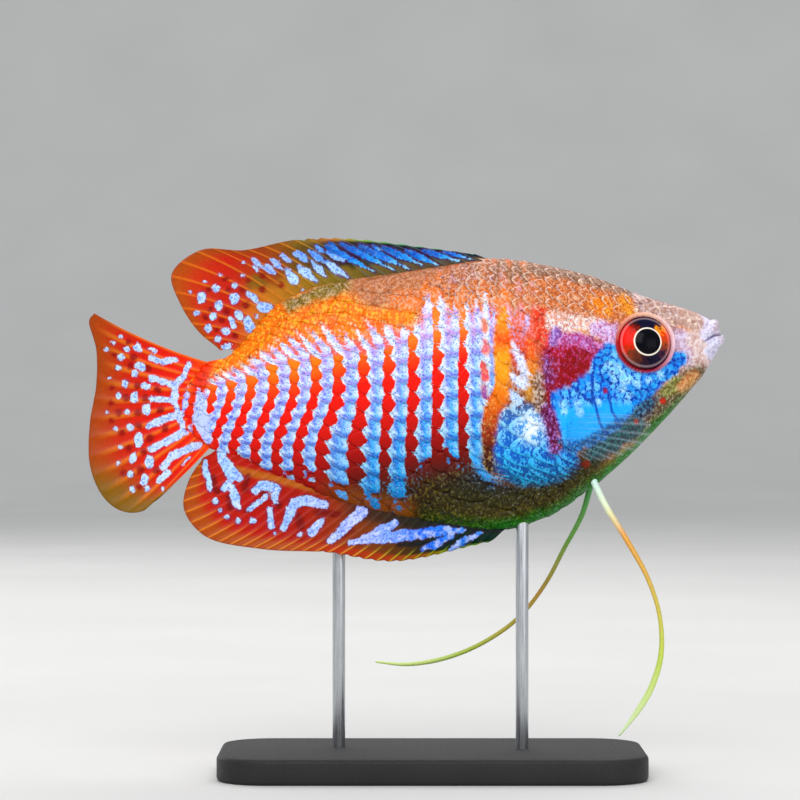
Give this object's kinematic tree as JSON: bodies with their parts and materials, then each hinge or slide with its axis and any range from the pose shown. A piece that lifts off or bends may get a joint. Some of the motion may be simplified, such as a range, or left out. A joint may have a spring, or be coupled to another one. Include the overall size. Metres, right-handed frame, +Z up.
{
  "type": "dwarf gourami",
  "caption": "Still life-size model of a male dwarf gourami with spread fins and trailing thread-like pelvic feelers, on a plain flat stand with slim rods.",
  "frame": {"origin": "on the floor under the stand, below the middle of the fish's length and on its middle plane", "axes": "+X towards the snout, +Y towards the fish's left side, +Z up"},
  "size_m": [0.0748, 0.025, 0.063],
  "materials": {
    "skin": "wet scaled skin in red and pale blue stripes, as gloss-coated casting resin",
    "gill_cover": "glossy bright blue, grooved",
    "lips": "smooth wet pinkish grey",
    "eyes": "polished, clear-coated",
    "fins": "thin satin membrane with rays, orange-red with pale blue spots",
    "clear_fins": "thin clear membrane with fine rays",
    "feelers": "smooth thread, pale blue to yellow",
    "stand_rods": "fine brushed",
    "stand_base": "satin black"
  },
  "bodies": {
    "root": {"head": "skin", "trunk": "skin", "tail_stalk": "skin", "gill_cover_right": "gill_cover", "gill_cover_left": "gill_cover", "upper_lip": "lips", "lower_jaw": "lips", "eye_right": "eyes", "eye_left": "eyes", "dorsal_fin": "fins", "anal_fin": "fins", "caudal_fin": "fins", "pectoral_fin_right": "clear_fins", "pectoral_fin_left": "clear_fins", "pelvic_feeler_right_1": "feelers", "pelvic_feeler_right_2": "feelers", "pelvic_feeler_right_3": "feelers", "pelvic_feeler_left_1": "feelers", "pelvic_feeler_left_2": "feelers", "pelvic_feeler_left_3": "feelers", "stand_base": "stand_base", "stand_rod_front": "stand_rods", "stand_rod_rear": "stand_rods"}
  },
  "joints": []
}
